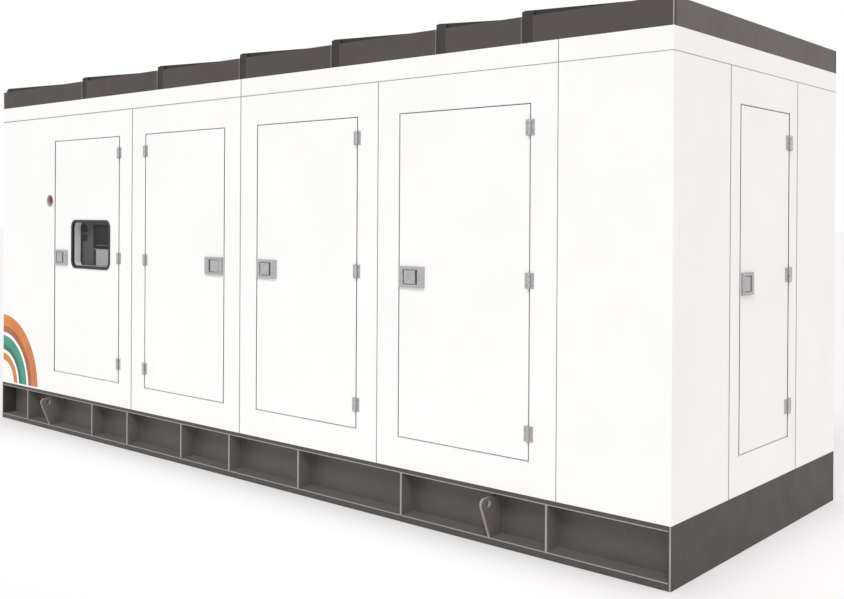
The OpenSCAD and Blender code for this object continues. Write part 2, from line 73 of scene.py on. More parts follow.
def linear(hex_colour):
    """An sRGB hex colour as linear RGBA."""
    parts = [int(hex_colour[i:i + 2], 16) / 255 for i in (1, 3, 5)]
    return [p / 12.92 if p <= 0.04045 else ((p + 0.055) / 1.055) ** 2.4 for p in parts] + [1.0]


def add_node(tree, kind, inputs=None, **settings):
    """Adds a shader node, sets its properties, and fills or links its inputs."""
    node = tree.nodes.new("ShaderNode" + kind)
    for name, value in settings.items():
        setattr(node, name, value)
    for key, value in (inputs or {}).items():
        if isinstance(value, bpy.types.NodeSocket):
            tree.links.new(value, node.inputs[key])
        else:
            node.inputs[key].default_value = value
    return node


def new_finish(name):
    """An empty material: its node tree, its Principled shader and the object's own coordinates in metres."""
    material = bpy.data.materials.new(name)
    material.use_nodes = True
    tree = material.node_tree
    shader = tree.nodes["Principled BSDF"]
    place = add_node(tree, "TexCoord").outputs["Object"]
    return material, tree, shader, place


def grain(tree, place, size_mm, detail=2.0, rough=0.5):
    """Noise whose lumps are about size_mm across."""
    return add_node(tree, "TexNoise", {
        "Vector": place, "Scale": 1 / (size_mm * MM), "Detail": detail, "Roughness": rough}).outputs["Fac"]


def spread(tree, value, low, high, from_low=0.3, from_high=0.7):
    """Maps a noise value onto low to high."""
    return add_node(tree, "MapRange", {
        "Value": value, "From Min": from_low, "From Max": from_high,
        "To Min": low, "To Max": high}).outputs["Result"]


def mix_colours(tree, amount, first, second):
    """Blends two colours, each a value or a socket."""
    return add_node(tree, "Mix", {0: amount, 6: first, 7: second}, data_type="RGBA").outputs[2]


def raised(tree, shader, height, depth_mm, strength=1.0):
    """Bump from a height between 0 and 1 that is depth_mm deep."""
    bump = add_node(tree, "Bump", {"Strength": strength, "Distance": depth_mm * MM, "Height": height})
    tree.links.new(bump.outputs["Normal"], shader.inputs["Normal"])


def painted_sheet(name, hex_colour, hex_shade, roughness, coat=0.15, gleam=0.5):
    """Powder-coated folded sheet: a nearly even colour, a faint orange peel and an uneven gloss."""
    material, tree, shader, place = new_finish(name)
    waves = grain(tree, place, 420, 3)
    tone = mix_colours(tree, spread(tree, waves, 0, 1), linear(hex_colour), linear(hex_shade))
    tree.links.new(tone, shader.inputs["Base Color"])
    tree.links.new(spread(tree, grain(tree, place, 60, 4), roughness - 0.05, roughness + 0.07),
                   shader.inputs["Roughness"])
    shader.inputs["Coat Weight"].default_value = coat
    shader.inputs["Coat Roughness"].default_value = 0.2
    shader.inputs["Specular IOR Level"].default_value = gleam
    # Real orange peel is 1 to 2 mm across. It is drawn a little coarser so that it shows.
    raised(tree, shader, grain(tree, place, 3), 0.06, 0.35)
    return material


DUST = "#8F8A86"           # the dust that settles on the base


def frame_enamel(name, hex_colour, hex_edge, hex_dust, gleam=0.5, dust=0.5):
    """Sprayed enamel on welded steel: satin, cloudy, with rubbed specks and dust on faces that look up."""
    material, tree, shader, place = new_finish(name)
    clouds = grain(tree, place, 150, 4)
    tone = mix_colours(tree, spread(tree, clouds, 0, 0.8), linear(hex_colour), linear(hex_dust))
    specks = spread(tree, grain(tree, place, 6, 3), 0, 1, 0.62, 0.7)
    tone = mix_colours(tree, specks, tone, linear(hex_edge))
    facing = add_node(tree, "SeparateXYZ", {0: add_node(tree, "NewGeometry").outputs["Normal"]})
    settled = spread(tree, facing.outputs["Z"], 0, dust, 0.4, 0.95)
    tone = mix_colours(tree, settled, tone, linear(DUST))
    tree.links.new(tone, shader.inputs["Base Color"])
    tree.links.new(spread(tree, clouds, 0.46, 0.62), shader.inputs["Roughness"])
    shader.inputs["Specular IOR Level"].default_value = gleam
    raised(tree, shader, grain(tree, place, 4), 0.08, 0.4)
    return material


def zinc_plate(name, hex_colour="#BBBABA", hex_shade="#A9A8A8", roughness=0.45):
    """Dull zinc plating: a warm pale grey with soft blotches and fine rolling marks."""
    material, tree, shader, place = new_finish(name)
    blotches = grain(tree, place, 14, 3)
    tone = mix_colours(tree, spread(tree, blotches, 0, 1), linear(hex_colour), linear(hex_shade))
    tree.links.new(tone, shader.inputs["Base Color"])
    shader.inputs["Metallic"].default_value = 0.6
    tree.links.new(spread(tree, blotches, roughness - 0.06, roughness + 0.1), shader.inputs["Roughness"])
    stretched = add_node(tree, "Mapping", {"Vector": place, "Scale": (1, 1, 12)}).outputs["Vector"]
    raised(tree, shader, grain(tree, stretched, 5), 0.03, 0.3)
    return material


def moulded(name, hex_colour, roughness, grain_mm=1.5, gleam=0.5):
    """Moulded rubber or plastic: one colour with a fine moulded grain."""
    material, tree, shader, place = new_finish(name)
    spark = grain(tree, place, grain_mm)
    shade = [c * 0.8 for c in linear(hex_colour)[:3]] + [1.0]
    tone = mix_colours(tree, spread(tree, grain(tree, place, 30), 0, 0.6), linear(hex_colour), shade)
    tree.links.new(tone, shader.inputs["Base Color"])
    tree.links.new(spread(tree, spark, roughness - 0.05, roughness + 0.08), shader.inputs["Roughness"])
    shader.inputs["Specular IOR Level"].default_value = gleam
    raised(tree, shader, spark, 0.05, 0.4)
    return material


def float_glass(name):
    """Clear float glass: nearly see-through, with a faint dark tint, a clean gloss and a trace of dust."""
    material, tree, shader, place = new_finish(name)
    tone = mix_colours(tree, spread(tree, grain(tree, place, 90), 0, 1), linear("#1C2022"), linear("#2A2E30"))
    tree.links.new(tone, shader.inputs["Base Color"])
    tree.links.new(spread(tree, grain(tree, place, 40, 4), 0.03, 0.08), shader.inputs["Roughness"])
    shader.inputs["Alpha"].default_value = 0.07
    return material


def perforated_lining(name, hex_colour):
    """Galvanised lining with rows of round holes over dark mineral wool."""
    material, tree, shader, place = new_finish(name)
    # Real holes are 5 mm across at a pitch of 8 mm. They are drawn about twice as large so that they show.
    pitch, radius, rim = 16 * MM, 4.6 * MM, 0.6 * MM
    wool = "#2E2D2B"
    axes = add_node(tree, "SeparateXYZ", {"Vector": place})
    along = add_node(tree, "Math", {0: axes.outputs["X"], 1: axes.outputs["Y"]}, operation="ADD").outputs[0]
    cell = []
    for value in (along, axes.outputs["Z"]):
        turned = add_node(tree, "Math", {0: value, 1: 1 / pitch}, operation="MULTIPLY").outputs[0]
        part = add_node(tree, "Math", {0: turned}, operation="FRACT").outputs[0]
        offset = add_node(tree, "Math", {0: part, 1: 0.5}, operation="SUBTRACT").outputs[0]
        cell.append(add_node(tree, "Math", {0: offset, 1: pitch}, operation="MULTIPLY").outputs[0])
    flat = add_node(tree, "CombineXYZ", {"X": cell[0], "Y": cell[1]}).outputs[0]
    away = add_node(tree, "VectorMath", {0: flat}, operation="LENGTH").outputs["Value"]
    metal = spread(tree, away, 0, 1, radius, radius + rim)
    tone = mix_colours(tree, metal, linear(wool), linear(hex_colour))
    tree.links.new(tone, shader.inputs["Base Color"])
    tree.links.new(metal, shader.inputs["Metallic"])
    shader.inputs["Roughness"].default_value = 0.5
    raised(tree, shader, metal, 0.8, 0.6)
    return material


def tread_plate(name, hex_colour):
    """Painted tread plate: short raised bars that change direction from cell to cell."""
    material, tree, shader, place = new_finish(name)
    # The bars of real tread plate are about 25 mm long at a pitch of 40 mm.
    pitch = 40 * MM
    bare = "#9A9792"
    board = add_node(tree, "TexChecker", {"Vector": place, "Scale": 1 / pitch}).outputs["Fac"]
    ridges = []
    for scale in ((1, 4, 1), (4, 1, 1)):
        squeezed = add_node(tree, "Mapping", {"Vector": place, "Scale": scale}).outputs["Vector"]
        cells = {"Vector": squeezed, "Scale": 1 / (2 * pitch), "Randomness": 0.0}
        ridges.append(add_node(tree, "TexVoronoi", cells).outputs["Distance"])
    turned = add_node(tree, "Mix", {0: board, 2: ridges[0], 3: ridges[1]}, data_type="FLOAT").outputs[0]
    bars = spread(tree, turned, 1, 0, 0.12, 0.22)
    worn = mix_colours(tree, spread(tree, bars, 0, 0.5, 0, 1), linear(hex_colour), linear(bare))
    tree.links.new(worn, shader.inputs["Base Color"])
    shader.inputs["Roughness"].default_value = 0.55
    raised(tree, shader, bars, 1.5, 0.7)
    return material


def printed_film(name, hex_colour, hex_shade):
    """Printed vinyl film: a flat colour that deepens slowly along the print, with a soft gloss."""
    material, tree, shader, place = new_finish(name)
    drift = spread(tree, grain(tree, place, 300), 0, 1)
    tone = mix_colours(tree, drift, linear(hex_colour), linear(hex_shade))
    tree.links.new(tone, shader.inputs["Base Color"])
    tree.links.new(spread(tree, grain(tree, place, 25), 0.35, 0.42), shader.inputs["Roughness"])
    return material


white_coat = painted_sheet("white_powder_coat", "#F6F6F5", "#F3F3F2", 0.42)
fascia_coat = painted_sheet("grey_powder_coat", "#524D4B", "#4D4846", 0.7, 0, 0.25)
# The end fascia gets a lighter copy of the fascia's grey: painted light, for the short face catching more
# light.
lit_fascia_end_coat = painted_sheet("lit_grey_powder_coat_end", "#686361", "#635E5C", 0.7, 0, 0.3)
# The step posts' grey is darker than the fascia's: painted shade beside each fascia board's proud end.
shaded_post_coat = painted_sheet("shaded_grey_powder_coat", "#403C39", "#3B3734", 0.7, 0, 0.25)
# Dark grey roof sheets and kerbs. They are made darker than the fascia to paint the shade on the sloped edge
# above it.
shaded_roof_coat = painted_sheet("shaded_roof_sheet_coat", "#403D3B", "#393634", 0.75, 0, 0.25)
base_enamel = frame_enamel("base_enamel", "#585351", "#6D6866", "#615C5A")
# A darker copy of the base enamel for the end plates: painted shade for the end face.
shaded_base_end_enamel = frame_enamel("shaded_base_end_enamel", "#454140", "#565250", "#484442", 0.25)
# A lighter copy of the base enamel for the ribs and lugs: painted light on their side faces, which lie in the
# pockets' shade.
lit_rib_enamel = frame_enamel("lit_rib_enamel", "#6D6866", "#7C7775", "#736E6C")
# A darker copy of the base enamel for the flanges: painted shade, so that their open faces look as dark as
# the shaded web. The dust on their upper faces is real.
shaded_flange_enamel = frame_enamel("shaded_flange_enamel", "#433F3D", "#56524F", "#474341", dust=0.42)
# Painted highlight: the paler lines along the edges of the base, the lugs and the fascia boards, where light
# catches them.
highlight_enamel = frame_enamel("painted_edge_highlight_enamel", "#9A9694", "#B4B0AE", "#A39F9D")
zinc = zinc_plate("zinc_plated_steel")
dark_zinc = zinc_plate("shaded_zinc_pin", "#989695", "#868483", 0.5)
epdm = moulded("epdm_rubber", "#2E2E30", 0.65)
level_sealant = moulded("pale_grey_sealant", "#A2A1A1", 0.7)
bead_sealant = moulded("grey_sealant_bead", "#858484", 0.7)
# Pale rubber on the rails, and paler grey rubber on the uprights of two doors: painted light that makes those
# gaps' shade less dark.
rail_gap_light_rubber = moulded("pale_rail_gap_light_rubber", "#E9E9E8", 0.7)
# Black rubber on the other doors' upright edges: real rubber, whose dark tone also paints the shade in their
# gaps.
edge_rubber = moulded("black_gap_shade_rubber", "#2A2A2A", 0.7)
mid_grey_gap_rubber = moulded("mid_grey_gap_light_rubber", "#868585", 0.75)
light_grey_gap_rubber = moulded("light_grey_gap_light_rubber", "#C2C1C1", 0.75)
seal_rubber = moulded("pale_door_seal", "#D2D1D0", 0.7)
black_plastic = moulded("black_abs", "#1A191F", 0.5, gleam=0.2)
grey_plastic = moulded("light_grey_abs", "#B4B5B5", 0.45)
dark_plastic = moulded("dark_button_abs", "#242427", 0.4, gleam=0.3)
# A dark pad in each latch's finger gap: painted shade for the recess.
recess_shade_rubber = moulded("recess_shade_pad_rubber", "#4A4949", 0.75)
red_plastic = moulded("red_mushroom_abs", "#651C30", 0.4)
bezel_plastic = moulded("dark_red_bezel_abs", "#4A1A28", 0.5)
cabinet_coat = painted_sheet("cabinet_powder_coat", "#5C5C5C", "#545454", 0.55, 0.05, 0.3)
glass = float_glass("float_glass")
lining_sheet = perforated_lining("perforated_lining", "#C9CBCC")
floor_plate = tread_plate("tread_plate", "#75726F")
inner_coat = painted_sheet("inner_grey_coat", "#D8D8D7", "#CFCFCE", 0.5)
liner_coat = painted_sheet("window_liner_coat", "#F4F4F4", "#EAEAEA", 0.4)
cup_zinc = zinc_plate("stop_cup_zinc", "#D0C5C7", "#BDB2B4", 0.5)
screen = moulded("dark_display_screen", "#17171E", 0.3, gleam=0.2)
orange_film = printed_film("orange_vinyl_film", "#E08A3C", "#C9702C")
rust_film = printed_film("rust_vinyl_film", "#B4602F", "#9A4F29")
green_film = printed_film("green_vinyl_film", "#2F9A80", "#27866F")
deep_green_film = printed_film("deep_green_vinyl_film", "#1F6B58", "#1A5C4B")


def clothe(material, *names):
    """Gives CAD nodes a finish."""
    for name in names:
        slots = cad_nodes[name].data.materials
        slots.clear()
        slots.append(material)


SIDES = ("front", "back")
DOORS = ("control_door", "side_door_1", "side_door_2", "side_door_3", "end_door")

for side in SIDES:
    clothe(white_coat, side + "_wall_panels", side + "_door_surrounds", side + "_header_strips")
clothe(white_coat, "end_wall_panels", "end_door_surrounds", "end_header_strips")
clothe(white_coat, "fixed_door_leaves", *[door + "_leaf" for door in DOORS])
clothe(base_enamel, "base_webs")
clothe(lit_rib_enamel, "base_ribs", "lifting_lugs")
clothe(shaded_flange_enamel, "base_flanges")
clothe(shaded_base_end_enamel, "base_end_plates")
clothe(floor_plate, "base_deck")
clothe(zinc, "wall_posts", "eaves_rails", "frame_hinges", "fixed_door_hinges", "fixed_door_latches")
for door in DOORS:
    clothe(zinc, door + "_hinges", door + "_latch", door + "_paddle")
clothe(fascia_coat, "roof_side_fascia")
clothe(lit_fascia_end_coat, "roof_end_fascia")
clothe(shaded_post_coat, "roof_step_posts")
clothe(shaded_roof_coat, "roof_panels", "roof_kerbs")
clothe(epdm, "window_gasket")
clothe(glass, "window_glass")
clothe(cabinet_coat, "control_cabinet")
clothe(black_plastic, "display_unit")
clothe(grey_plastic, "breaker_unit")
clothe(dark_plastic, "panel_buttons")
clothe(cup_zinc, "stop_button_ring")
clothe(red_plastic, "stop_button")


def round_edges(thing, width_mm):
    """Rounds a piece's sharp edges a little, in two steps."""
    edge = thing.modifiers.new("edges", "BEVEL")
    edge.width = width_mm * MM
    edge.segments = 2
    edge.limit_method = "ANGLE"
    edge.harden_normals = True
    return edge


def soften(width_mm, *names):
    """Rounds the edges of CAD nodes, as folded, rolled or moulded edges are."""
    for name in names:
        node = cad_nodes[name]
        weld = node.modifiers.new("weld", "WELD")
        weld.merge_threshold = SAME_POINT
        round_edges(node, width_mm).angle_limit = math.radians(40)


soften(1.0, "fixed_door_leaves", *[door + "_leaf" for door in DOORS])
for side in SIDES:
    soften(1.0, side + "_wall_panels", side + "_door_surrounds", side + "_header_strips")
soften(1.0, "end_wall_panels", "end_door_surrounds", "end_header_strips")
soften(2.5, "roof_side_fascia", "roof_end_fascia", "roof_step_posts")
soften(2.0, "base_flanges", "base_ribs", "lifting_lugs")
soften(0.6, "frame_hinges", "fixed_door_hinges", *[door + "_hinges" for door in DOORS])
soften(1.2, "fixed_door_latches", *[door + "_latch" for door in DOORS])
soften(0.8, *[door + "_paddle" for door in DOORS])
soften(1.5, "control_cabinet", "display_unit", "breaker_unit", "panel_buttons", "stop_button_ring")


# ---------------------------------------------------------------- mesh helpers

def add_box(bm, low, high):
    """Adds a box between two corners."""
    corners = [bm.verts.new((x, y, z)) for x in (low[0], high[0]) for y in (low[1], high[1])
               for z in (low[2], high[2])]
    for face in ((0, 1, 3, 2), (4, 6, 7, 5), (0, 4, 5, 1), (2, 3, 7, 6), (0, 2, 6, 4), (1, 5, 7, 3)):
        bm.faces.new([corners[i] for i in face])


def join_rows(bm, rows, ring=False):
    """Joins rows of points, each a closed loop, into a solid with two ends or into a closed ring."""
    loops = [[bm.verts.new(point) for point in row] for row in rows]
    pairs = list(zip(loops, loops[1:]))
    if ring:
        pairs.append((loops[-1], loops[0]))
    for first, second in pairs:
        for i in range(len(first)):
            k = (i + 1) % len(first)
            bm.faces.new((first[i], first[k], second[k], second[i]))
    if not ring:
        bm.faces.new(loops[0][::-1])
        bm.faces.new(loops[-1])


def add_turned(bm, centre, axis, profile, sides=24, ring=False):
    """Turns a profile of (radius, distance along the axis) points around an axis, solid or as a ring."""
    axis = Vector(axis).normalized()
    first = axis.orthogonal().normalized()
    second = axis.cross(first)
    ways = []
    for i in range(sides):
        angle = 2 * math.pi * i / sides
        ways.append(math.cos(angle) * first + math.sin(angle) * second)
    rows = [[Vector(centre) + axis * along + radius * way for way in ways] for radius, along in profile]
    join_rows(bm, rows, ring)


def piece(name, bm, material, body, bevel_mm=0.0, place=None):
    """Turns a bmesh into a piece of the object that rides on a body."""
    if place is not None:
        bmesh.ops.transform(bm, matrix=place, verts=bm.verts)
    bmesh.ops.recalc_face_normals(bm, faces=bm.faces)
    mesh = bpy.data.meshes.new(name)
    bm.to_mesh(mesh)
    bm.free()
    mesh.shade_smooth()
    mesh.set_sharp_from_angle(angle=math.radians(35))
    thing = bpy.data.objects.new(name, mesh)
    bpy.context.scene.collection.objects.link(thing)
    mesh.materials.append(material)
    if bevel_mm:
        round_edges(thing, bevel_mm)
    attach(thing, body)
    return thing


def countersunk(bm, at, out, radius):
    """A screw head that sits almost flush, with a small recess."""
    add_turned(bm, at, out, [(radius * 1.05, -0.4 * MM), (radius, 0.5 * MM), (radius * 0.8, 0.9 * MM),
                             (radius * 0.45, 0.9 * MM), (radius * 0.42, 0.2 * MM)], 12)


def add_posts(bm, low, high, width, near, far, last=None):
    """The upright bars of a frame in a door's own space. The one on the free side is last wide."""
    (x0, z0), (x1, z1) = low, high
    add_box(bm, (x0, near, z0), (x0 + width, far, z1))
    add_box(bm, (x1 - (last or width), near, z0), (x1, far, z1))


def add_rails(bm, low, high, width, near, far, last=None):
    """The level bars that fit between those posts."""
    (x0, z0), (x1, z1) = low, high
    x0, x1 = x0 + width, x1 - (last or width)
    add_box(bm, (x0, near, z0), (x1, far, z0 + width))
    add_box(bm, (x0, near, z1 - width), (x1, far, z1))


def rounded_outline(width, height, radius, steps=8):
    """Points of a rectangle with round corners around the origin, as (x, z)."""
    points = []
    for turn, (sx, sz) in enumerate(((1, 1), (-1, 1), (-1, -1), (1, -1))):
        middle = (sx * (width / 2 - radius), sz * (height / 2 - radius))
        for i in range(steps + 1):
            angle = math.pi / 2 * (turn + i / steps)
            points.append((middle[0] + radius * math.cos(angle), middle[1] + radius * math.sin(angle)))
    return points


def rounded_ring(bm, centre, sections):
    """Joins outlines (width, height, corner radius, y and any shift in X) around a centre into a ring."""
    rows = []
    for width, height, radius, y, *shift in sections:
        rows.append([(centre[0] + x + sum(shift), y, centre[2] + z)
                     for x, z in rounded_outline(width, height, radius)])
    join_rows(bm, rows, True)


def solids(node):
    """The boxes of a CAD node's separate solids, as (low, high) pairs in order of X, Y, Z."""
    bm = bmesh.new()
    bm.from_mesh(cad_nodes[node].data)
    bmesh.ops.remove_doubles(bm, verts=bm.verts, dist=SAME_POINT)
    boxes, waiting = [], set(bm.verts)
    while waiting:
        group, edge = set(), [waiting.pop()]
        while edge:
            vert = edge.pop()
            group.add(vert)
            for link in vert.link_edges:
                other = link.other_vert(vert)
                if other in waiting:
                    waiting.remove(other)
                    edge.append(other)
        boxes.append(tuple(Vector([pick(v.co[i] for v in group) for i in range(3)]) for pick in (min, max)))
    bm.free()
    return sorted(boxes, key=lambda box: [round(c, 4) for c in box[0]])


# ---------------------------------------------------------------- places taken from the frame

wall_low, wall_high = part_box("front_wall_panels")
WALL_T = wall_high.y - wall_low.y
FACE_Y = -wall_low.y          # of the long walls
FACE_X = wall_high.x          # of the short walls
BASE_TOP = wall_low.z
PANEL_TOP = wall_high.z
strip_low, strip_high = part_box("front_header_strips")
ROOF_Z = strip_high.z
JOINT = strip_low.z - PANEL_TOP
SHARED = 2 * JOINT         # panels closer than this share a joint

MIRROR_Y = Matrix.Scale(-1, 4, Vector((0, 1, 0)))
MIRROR_X = Matrix.Scale(-1, 4, Vector((1, 0, 0)))


class Door:
    """A door's own space: X from the hinged edge, Y into the machine, Z up from the leaf's lower edge."""

    def __init__(self, body):
        self.body = body
        low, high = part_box(body + "_leaf")
        hinge = next(j for j in frame["joints"] if j["name"] == body + "_hinge")["pos_m"]
        if body == "end_door":
            inward, across = Vector((-1, 0, 0)), Vector((0, 1, 0))
            corner = Vector((high.x, 0, low.z))
            self.width, self.thick = high.y - low.y, high.x - low.x
            near, far = low.y, high.y
            pin = hinge[1]
        else:
            inward, across = Vector((0, 1, 0)), Vector((1, 0, 0))
            corner = Vector((0, low.y, low.z))
            self.width, self.thick = high.x - low.x, high.y - low.y
            near, far = low.x, high.x
            pin = hinge[0]
        at_far_edge = abs(pin - far) < abs(pin - near)
        self.height = high.z - low.z
        self.gap = 2 * abs(pin - (far if at_far_edge else near))
        corner += across * (far if at_far_edge else near)
        along = across * (-1 if at_far_edge else 1)
        self.place = Matrix.Translation(corner) @ Matrix((along, inward, UP)).transposed().to_4x4()
        self.inverse = self.place.inverted()

    def local(self, box):
        """A world box in the door's own space."""
        corners = [self.inverse @ Vector(corner) for corner in box]
        return tuple(Vector([pick(c[i] for c in corners) for i in range(3)]) for pick in (min, max))


doors = [Door(body) for body in DOORS]
# The fixed doors repeat the moving ones on the hidden sides: (door, name, body, place).
copies = [(door, door.body, door.body, door.place) for door in doors]
for door in doors:
    flip, where = (MIRROR_X, "far_end") if door.body == "end_door" else (MIRROR_Y, "back")
    copies.append((door, where + "_" + door.body, "housing", flip @ door.place))


# ---------------------------------------------------------------- joints between the panels

SEALANT_D = 12 * MM        # from the face to the sealant's back
BEAD_LAP = 2.4 * MM        # of the short sides' upright beads, on each panel
NEAR_LAP = 0.1 * MM        # of the long sides' beads, at the end with the working door
BEAD_GROWTH = 0.6 * MM     # of an upright bead's lap, for each metre away from that end
LEVEL_GROWTH = 0.36 * MM
BEAD_OUT = 0.3 * MM        # in front of the face
LEVEL_OUT = 0.4 * MM


def hand_lap(x, growth):
    """The hand-run beads of the long sides get narrower toward the end with the working door."""
    return NEAR_LAP + growth * (FACE_X - x)


def add_joint_fillers():
    """Beads of sealant that lap the panels along the level joints and along the upright ones."""
    level, beads = bmesh.new(), bmesh.new()
    for sign, side in ((-1, SIDES[0]), (1, SIDES[1])):
        back = sign * (FACE_Y - SEALANT_D)
        front = sign * (FACE_Y + BEAD_OUT)
        for node, low_z, high_z in ((side + "_wall_panels", BASE_TOP, PANEL_TOP),
                                    (side + "_header_strips", strip_low.z, ROOF_Z)):
            boxes = solids(node)
            for first, second in zip(boxes, boxes[1:]):
                if second[0].x - first[1].x < SHARED:
                    lap = hand_lap(first[1].x, BEAD_GROWTH)
                    add_box(beads, (first[1].x - lap, back, low_z), (second[0].x + lap, front, high_z))
        ends = []
        for x in (-FACE_X, FACE_X):
            lap = hand_lap(x, LEVEL_GROWTH)
            low_z, high_z = PANEL_TOP - lap, strip_low.z + lap
            out = sign * (FACE_Y + LEVEL_OUT)
            ends.append(((x, back, low_z), (x, out, low_z), (x, out, high_z), (x, back, high_z)))
        join_rows(level, ends)
    for sign in (-1, 1):
        back = sign * (FACE_X - SEALANT_D)
        boxes = sorted((b for b in solids("end_wall_panels") if b[0].x * sign > 0), key=lambda b: b[0].y)
        for first, second in zip(boxes, boxes[1:]):
            if second[0].y - first[1].y < SHARED:
                add_box(beads, (back, first[1].y - BEAD_LAP, BASE_TOP),
                        (sign * (FACE_X + BEAD_OUT), second[0].y + BEAD_LAP, PANEL_TOP))
        add_box(level, (back, -FACE_Y, PANEL_TOP - NEAR_LAP),
                (sign * (FACE_X + LEVEL_OUT), FACE_Y, strip_low.z + NEAR_LAP))
    piece("panel_level_beads", level, level_sealant, "housing")
    piece("panel_joint_beads", beads, bead_sealant, "housing", 0.2)


add_joint_fillers()

# ---------------------------------------------------------------- door frames, seals and linings

SWING_ROOM = 5 * MM        # that every piece keeps from a swinging leaf
PIN_OUT = (-FACE_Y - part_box("frame_hinges")[0].y) / 2     # of a hinge pin's axis from the face
POST_IN = 1.1 * MM         # from the face to the upright lips and edging
RAIL_IN = 0.8 * MM         # from the face to the level lips
LIP_D = 14 * MM            # of a lip, into the doorway
LIP_CLEARANCE = 0.1 * MM   # that a lip keeps besides the leaf's room
STOP_LAP = 14 * MM         # of the stop behind a leaf's edge
STOP_IN = 6.5 * MM         # from the leaf's back to the stop, where the seal lies
SEAL_IN = 0.8 * MM         # from the leaf's back to the seal
TRIM_LAP = 2 * MM          # of the push-on trim around a frame's upright edge, on its face
TRIM_OUT = 0.4 * MM
# On these doors a strip of the black upright rubber also lies on the frame's face, which widens the gap's
# painted shade.
TRIMMED = ("control_door", "end_door")
# The doors whose upright gap rubber is paler: painted light that leaves their upright gaps less dark.
LIT_GAP_RUBBER = {"side_door_2": mid_grey_gap_rubber, "side_door_3": light_grey_gap_rubber}


def edging_t(door):
    """How thick the edging on leaf and jamb can be, so that the swinging leaf keeps its room."""
    reach = math.hypot(door.width + door.gap / 2, door.thick + PIN_OUT) - door.gap / 2
    return min(0.6 * MM, (door.width + door.gap - reach - SWING_ROOM) / 2)


def add_door_frame(door, name, body, place):
    """Rubber lips around the doorway, edging on the leaf, and the stop with its seal behind the leaf."""
    gap, width, height = door.gap, door.width, door.height
    low, high = (-gap, -gap), (width + gap, height + gap)
    edging = edging_t(door)
    lip = gap - SWING_ROOM - edging - LIP_CLEARANCE
    around = (-edging, -edging), (width + edging, height + edging), edging
    upright_rubber = LIT_GAP_RUBBER.get(door.body, edge_rubber)
    for add_bars, rubber, part, lip_in in ((add_posts, upright_rubber, "posts", POST_IN),
                                           (add_rails, rail_gap_light_rubber, "rails", RAIL_IN)):
        bm = bmesh.new()
        add_bars(bm, low, high, lip, lip_in, lip_in + LIP_D, edging)
        if part == "posts" and door.body in TRIMMED:
            trim = (low[0] - TRIM_LAP, low[1]), (high[0] + TRIM_LAP, high[1])
            add_posts(bm, *trim, TRIM_LAP, -TRIM_OUT, 1.2 * MM)
        piece(name + "_lip_" + part, bm, rubber, "housing", place=place)
        bm = bmesh.new()
        add_bars(bm, *around, POST_IN, door.thick - 2 * MM)
        piece(name + "_edging_" + part, bm, rubber, body, place=place)
    bm = bmesh.new()
    stop = gap + STOP_LAP
    for add_bars in (add_posts, add_rails):
        add_bars(bm, low, high, stop, door.thick + STOP_IN, WALL_T)
    piece(name + "_stop", bm, inner_coat, "housing", 0.8, place)
    bm = bmesh.new()
    inset = 3 * MM
    for add_bars in (add_posts, add_rails):
        add_bars(bm, (low[0] + inset, low[1] + inset), (high[0] - inset, high[1] - inset),
                 stop - 2 * inset, door.thick + SEAL_IN, door.thick + STOP_IN)
    piece(name + "_seal", bm, seal_rubber, "housing", 1.2, place)


def window_box(door):
    """The window's glass in its door's own space."""
    return door.local(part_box("window_glass"))


LINING_INSET = 34 * MM     # from a leaf's edges
LINING_T = 1.5 * MM
WINDOW_ROOM = 22 * MM      # from the glass to the lining around it


def add_door_lining(door, name, body, place):
    """A perforated inner tray on the leaf's back, screwed on near its edges."""
    back = door.thick
    x0, x1 = LINING_INSET, door.width - LINING_INSET
    z0, z1 = LINING_INSET, door.height - LINING_INSET
    bm = bmesh.new()
    if body == "control_door":
        glass_low, glass_high = window_box(door)
        a, b = glass_low.x - WINDOW_ROOM, glass_high.x + WINDOW_ROOM
        c, d = glass_low.z - WINDOW_ROOM, glass_high.z + WINDOW_ROOM
        for low, high in (((x0, z0), (x1, c)), ((x0, d), (x1, z1)), ((x0, c), (a, d)), ((b, c), (x1, d))):
            add_box(bm, (low[0], back, low[1]), (high[0], back + LINING_T, high[1]))
        bmesh.ops.remove_doubles(bm, verts=bm.verts, dist=SAME_POINT)
    else:
        add_box(bm, (x0, back, z0), (x1, back + LINING_T, z1))
    piece(name + "_lining", bm, lining_sheet, body, place=place)
    bm = bmesh.new()
    columns, rows, inset = 3, 7, 14 * MM
    for i in range(columns):
        for k in range(rows):
            if 0 < i < columns - 1 and 0 < k < rows - 1:
                continue
            x = x0 + inset + (x1 - x0 - 2 * inset) * i / (columns - 1)
            z = z0 + inset + (z1 - z0 - 2 * inset) * k / (rows - 1)
            countersunk(bm, (x, back + LINING_T, z), (0, 1, 0), 5 * MM)
    piece(name + "_lining_screws", bm, zinc, body, place=place)


LOCK_IN = 45 * MM          # from the leaf's free edge to the lock's middle
LOCK_SIZE = Vector((22, 7, 70)) * MM       # half width, depth and half height of the lock case
GUIDE_SIZE = Vector((14, 8, 14)) * MM      # the same of a rod's guide
ROD_R = 4 * MM


